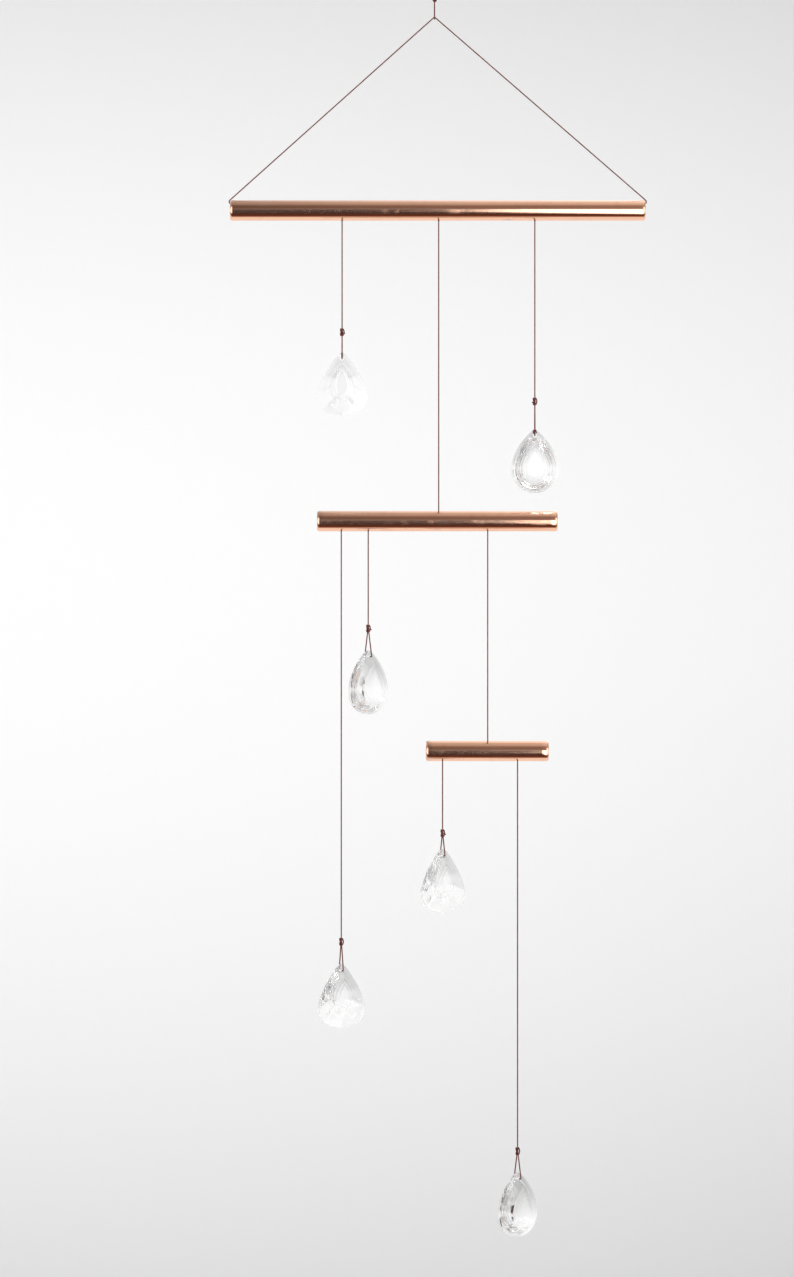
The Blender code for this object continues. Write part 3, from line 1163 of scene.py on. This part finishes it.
@dataclass(frozen=True)
class PictureFrame:
    """The photograph's frame and scale, and the camera that they give."""

    width_px: int = 794
    height_px: int = 1277
    metres_per_pixel: float = 0.00062
    apex_px: Span = (434.5, 17.0)
    distance: float = 2.5
    sensor: float = 36.0

    def camera(self) -> bpy.types.Object:
        """A level camera whose picture is the photograph's frame at the tubes.

        Returns:
            The camera, set as the scene's own.
        """
        apex_z = JOINT_AT["hanger_turn"][2]
        across = (self.width_px / 2 - self.apex_px[0]) * self.metres_per_pixel
        down = (self.height_px / 2 - self.apex_px[1]) * self.metres_per_pixel
        data = bpy.data.cameras.new("camera")
        data.sensor_width = self.sensor
        data.lens = self.sensor * self.distance / (self.height_px * self.metres_per_pixel)
        camera = new_object("camera", data)
        camera.location = (across, -self.distance, apex_z - down)
        camera.rotation_euler = (math.pi / 2, 0.0, 0.0)
        bpy.context.scene.camera = camera
        return camera


@dataclass(frozen=True)
class Stage:
    """A pale wall behind, a floor below, and a softbox above the viewer, to the left."""

    wall_y: float = 0.80
    floor_z: float = -1.15
    half_width: float = 3.0
    wall_height: float = 4.0
    # Painted pool of light on the wall and floor: grey values at its brightest spot, and the painted
    # shade in the room's corners
    wall_white: float = 0.965
    floor_white: float = 0.90
    shade: float = 0.70
    # Share of the wall that glass sees through to the room: painted shade that stands in for the
    # glass's shadow on a near wall
    glass_shade_veil: float = 0.6
    # Where the painted pool of light is brightest, and how fast it falls away across and up
    brightest: Triple = (-0.225, 0.0, -0.45)
    falloff: Triple = (0.36, 0.0, 0.87)
    lamp_at: Triple = (-1.3, -2.1, 1.3)
    lamp_towards: Triple = (0.0, 0.0, -0.4)
    lamp_size: Span = (1.4, 1.0)
    lamp_watts: float = 46.0
    bounces: int = 24

    def plane(self, name: str, corners: Array, white: float) -> bpy.types.Object:
        """A flat stage surface that is seen from its front only.

        Its grey value is a painted pool of light: it falls from the brightest spot with the square of
        the distance, across and up, and stops at the painted shade of the room's corners. Glass sees
        it partly clear over the room, as painted shade, and metal doesn't mirror it.

        Args:
            name: The object's name.
            corners: Four corners, anticlockwise from the front.
            white: Grey value at the brightest spot.

        Returns:
            The stage object.
        """
        mesh = bpy.data.meshes.new(name)
        mesh.from_pydata(corners.tolist(), [], [(0, 1, 2, 3)])
        made = new_object(name, mesh)
        material, sheet, shader = new_material(name)
        place = sheet.add("ShaderNodeTexCoord", {}).outputs["Object"]
        # Painted pool of light: the grey falls with the square of the distance from the brightest
        # spot
        away = sheet.vector("SUBTRACT", place, self.brightest).outputs["Vector"]
        away = sheet.vector("MULTIPLY", away, self.falloff).outputs["Vector"]
        painted_light_fall = sheet.vector("DOT_PRODUCT", away, away).outputs["Value"]
        tone = sheet.math("MAXIMUM", sheet.math("SUBTRACT", white, painted_light_fall), self.shade)
        sheet.feed(shader, {"Base Color": tone, "Roughness": 1.0, "Specular IOR Level": 0.0})
        behind = sheet.add("ShaderNodeNewGeometry", {}).outputs["Backfacing"]
        through = sheet.add("ShaderNodeLightPath", {}).outputs["Is Transmission Ray"]
        # Clear from behind; to glass partly clear, as painted shade in place of the glass's shadow on
        # the wall
        unseen = sheet.math("MAXIMUM", behind, sheet.math("MULTIPLY", through, self.glass_shade_veil))
        clear = sheet.add("ShaderNodeBsdfTransparent", {}).outputs["BSDF"]
        both = sheet.add("ShaderNodeMixShader", {0: unseen, 1: shader.outputs["BSDF"], 2: clear})
        sheet.feed(sheet.tree.nodes["Material Output"], {"Surface": both.outputs["Shader"]})
        made.data.materials.append(material)
        made.visible_glossy = False
        return made

    def surfaces(self) -> None:
        """Builds the wall, and the floor, which doesn't show through glass."""
        wide, back, low = self.half_width, self.wall_y, self.floor_z
        far_left, far_right = (-wide, back, low), (wide, back, low)
        top = low + self.wall_height
        wall = np.array([far_left, far_right, (wide, back, top), (-wide, back, top)])
        floor = np.array([(-wide, -wide, low), (wide, -wide, low), far_right, far_left])
        self.plane("studio_wall", wall, self.wall_white)
        self.plane("studio_floor", floor, self.floor_white).visible_transmission = False

    def softbox(self) -> None:
        """A soft rectangular lamp that only lights, and isn't seen or mirrored."""
        data = bpy.data.lights.new("softbox", "AREA")
        data.shape = "RECTANGLE"
        data.size, data.size_y = self.lamp_size
        data.energy = self.lamp_watts
        made = new_object("softbox", data)
        made.location = self.lamp_at
        aim = Vector(self.lamp_towards) - Vector(self.lamp_at)
        made.rotation_euler = aim.to_track_quat("-Z", "Y").to_euler()
        made.visible_camera = False
        made.visible_glossy = False

    def build(self) -> None:
        """Builds the stage, and lets light pass on through the inner reflections of cut glass."""
        self.surfaces()
        self.softbox()
        cycles = bpy.context.scene.cycles
        cycles.max_bounces = self.bounces
        cycles.glossy_bounces = self.bounces
        cycles.transmission_bounces = self.bounces


@dataclass(frozen=True)
class Room:
    """What lies round the stage: even ambient light, and the room that metal and glass show.

    Metal mirrors a dim room by its level, the angle round the X axis in degrees: 0 is straight in
    front, 90 overhead, -90 below, and 180 behind. Spans of level are shares of a full turn, where
    0.5 is straight in front. The other spans are of the direction's own X, Y or Z.
    """

    pale: float = 0.93
    ambient: float = 0.76
    front: Stops = (
        (-100, 1.0),
        (-88, (1.0, 0.94, 0.90)),
        (-77, (0.34, 0.19, 0.12)),
        (-66, (0.13, 0.045, 0.025)),
        (-45, (0.08, 0.045, 0.042)),
        (-20, (0.08, 0.07, 0.075)),
        (2, (0.12, 0.105, 0.11)),
        (12, (0.30, 0.28, 0.28)),
        (20, (0.22, 0.18, 0.165)),
        (40, (0.22, 0.165, 0.145)),
        (55, (0.33, 0.27, 0.24)),
        (68, (0.50, 0.45, 0.42)),
        (97, 0.65),
        (120, 0.90),
        (140, 1.0),
    )
    sides: Stops = (
        (-110, 0.95),
        (-88, 0.75),
        (-66, (0.22, 0.13, 0.10)),
        (-45, (0.36, 0.29, 0.26)),
        (40, 0.50),
        (105, 0.45),
        (130, 0.80),
    )
    sides_from: Span = (0.34, 0.54)

    # The front is brighter to the right, above its middle
    lean: float = 8.0
    lean_limits: Span = (0.65, 1.5)
    lean_from: Span = (0.50, 0.56)

    # Windows: bright panes to both sides, and one in front, right of the middle, with a slanted sill
    daylight: float = 2.8
    pane_levels: Stops = ((0.385, 0.0), (0.415, 1.0), (0.595, 1.0), (0.625, 0.0))
    pane_aside: Stops = ((0.10, 0.0), (0.25, 0.55))
    window_across: Stops = ((0.019, 0.0), (0.029, 1.0), (0.10, 1.0), (0.14, 0.55))
    window_head: Stops = ((0.515, 1.0), (0.535, 0.0))
    window_sill: Span = (0.474, 0.502)
    sill_slant: float = 1.85
    sill_end: float = 0.06

    # Behind the glass: white to the rear, and dark and pale things in the room in front
    clutter_scale: float = 5.5
    clutter_detail: float = 3.0
    clutter_roughness: float = 0.6
    clutter_lean: float = -0.10
    things: Stops = (
        (0.00, (0.05, 0.04, 0.04)),
        (0.385, (0.08, 0.06, 0.06)),
        (0.41, (0.42, 0.22, 0.13)),
        (0.425, 0.65),
        (0.46, 1.0),
    )
    heights: Stops = (
        (0.0, 0.40),
        (0.15, 0.50),
        (0.37, 0.72),
        (0.43, 0.84),
        (0.49, 0.96),
        (0.8, 1.0),
        (1.0, 0.8),
    )
    rear: Span = (0.50, 0.62)

    def windows(self, sheet: NodeSheet, across: Socket, level: Socket) -> Socket:
        """Where daylight shows in the mirrored room.

        Args:
            sheet: The world's node sheet.
            across: The direction's X.
            level: The direction's level.

        Returns:
            The socket of a mask that is 1 in a window.
        """
        away = sheet.math("ABSOLUTE", across)
        panes = sheet.math(
            "MULTIPLY", sheet.ramp(level, self.pane_levels), sheet.ramp(away, self.pane_aside)
        )
        slant = sheet.math("MINIMUM", across, self.sill_end)
        slant = sheet.math("MULTIPLY_ADD", slant, self.sill_slant, level)
        tall = sheet.math(
            "MULTIPLY", sheet.rise(slant, self.window_sill), sheet.ramp(level, self.window_head)
        )
        window = sheet.math("MULTIPLY", sheet.ramp(across, self.window_across), tall)
        return sheet.math("MAXIMUM", window, panes)

    def mirrored(self, sheet: NodeSheet, parts: Any) -> Socket:
        """The room that metal mirrors, by level, with its sides and windows.

        Args:
            sheet: The world's node sheet.
            parts: Sockets of the direction's X, Y and Z.

        Returns:
            The colour socket.
        """
        across = parts["X"]
        angle = sheet.math("ARCTAN2", parts["Z"], sheet.math("MULTIPLY", parts["Y"], -1.0))
        level = sheet.math("MULTIPLY_ADD", angle, 1 / math.tau, 0.5)
        front, sides = (
            sheet.ramp(level, tuple((0.5 + turn / 360, tone) for turn, tone in stops))
            for stops in (self.front, self.sides)
        )
        least, most = self.lean_limits
        lean = sheet.math("MULTIPLY_ADD", across, self.lean, 1.0)
        lean = sheet.math("MINIMUM", sheet.math("MAXIMUM", lean, least), most)
        room = sheet.mix(sheet.rise(level, self.lean_from), front, lean, "MULTIPLY")
        aside = sheet.rise(sheet.math("ABSOLUTE", across), self.sides_from)
        room = sheet.mix(aside, room, sides)
        return sheet.mix(self.windows(sheet, across, level), room, grey(self.daylight))

    def seen_through(self, sheet: NodeSheet, looking: Socket, parts: Any) -> Socket:
        """The room that shows through glass, darker towards the floor.

        Args:
            sheet: The world's node sheet.
            looking: Socket of the direction.
            parts: Sockets of the direction's X, Y and Z.

        Returns:
            The colour socket.
        """
        clutter = sheet.add(
            "ShaderNodeTexNoise",
            {
                "Vector": looking,
                "Scale": self.clutter_scale,
                "Detail": self.clutter_detail,
                "Roughness": self.clutter_roughness,
            },
        ).outputs["Fac"]
        things = sheet.math("MULTIPLY_ADD", parts["X"], self.clutter_lean, clutter)
        height, rear = (sheet.math("MULTIPLY_ADD", parts[axis], 0.5, 0.5) for axis in "ZY")
        seen = sheet.mix(sheet.rise(rear, self.rear), sheet.ramp(things, self.things), grey(1.0))
        return sheet.mix(1.0, seen, sheet.ramp(height, self.heights), "MULTIPLY")

    def build(self) -> None:
        """Makes the world: ambient light, pale for the camera, the room for metal and glass."""
        world = bpy.data.worlds.new("studio")
        bpy.context.scene.world = world
        world.use_nodes = True
        sheet = NodeSheet(world.node_tree)
        looking = sheet.add("ShaderNodeTexCoord", {}).outputs["Generated"]
        parts = sheet.add("ShaderNodeSeparateXYZ", {"Vector": looking}).outputs
        rays = sheet.add("ShaderNodeLightPath", {}).outputs
        tone = sheet.mix(rays["Is Glossy Ray"], grey(self.ambient), self.mirrored(sheet, parts))
        through = self.seen_through(sheet, looking, parts)
        tone = sheet.mix(rays["Is Transmission Ray"], tone, through)
        tone = sheet.mix(rays["Is Camera Ray"], tone, grey(self.pale))
        sheet.feed(sheet.tree.nodes["Background"], {"Color": tone})


TUBES = (
    Tube(Bar.TOP, under=("pendant_1_swing", "middle_swing", "pendant_2_swing")),
    Tube(
        Bar.MIDDLE,
        under=("pendant_3_swing", "pendant_4_swing", "bottom_swing"),
        over=("middle_teeter",),
        turned=-0.0045,
    ),
    Tube(
        Bar.BOTTOM,
        under=("pendant_5_swing", "pendant_6_swing"),
        over=("bottom_teeter",),
        turned=-0.010,
    ),
)
PENDANTS = (
    Pendant(1, BROAD, 0.0),
    Pendant(2, ALMOND, 0.0),
    Pendant(3, ALMOND, 40.0),
    Pendant(4, BROAD, 28.0),
    Pendant(5, BROAD, 33.0),
    Pendant(6, ALMOND, 38.0),
)


def main() -> None:
    """Builds the camera, the hanger, the suspensions, the pendants, the tubes and the studio."""
    logging.basicConfig(level=logging.INFO, format="%(name)s: %(message)s")
    bpy.context.scene.view_settings.view_transform = "Standard"
    PictureFrame().camera()
    copper = PolishedCopper().material()
    crystal = CutCrystal().material()
    waxed = WaxedCord().material()
    Hanger().build(waxed)
    for name in ("middle", "bottom"):
        Suspension(name).build(waxed)
    for pendant in PENDANTS:
        pendant.build(waxed, crystal)
    for tube in TUBES:
        tube.build(copper)
    Stage().build()
    Room().build()


if __name__ == "__main__":
    main()
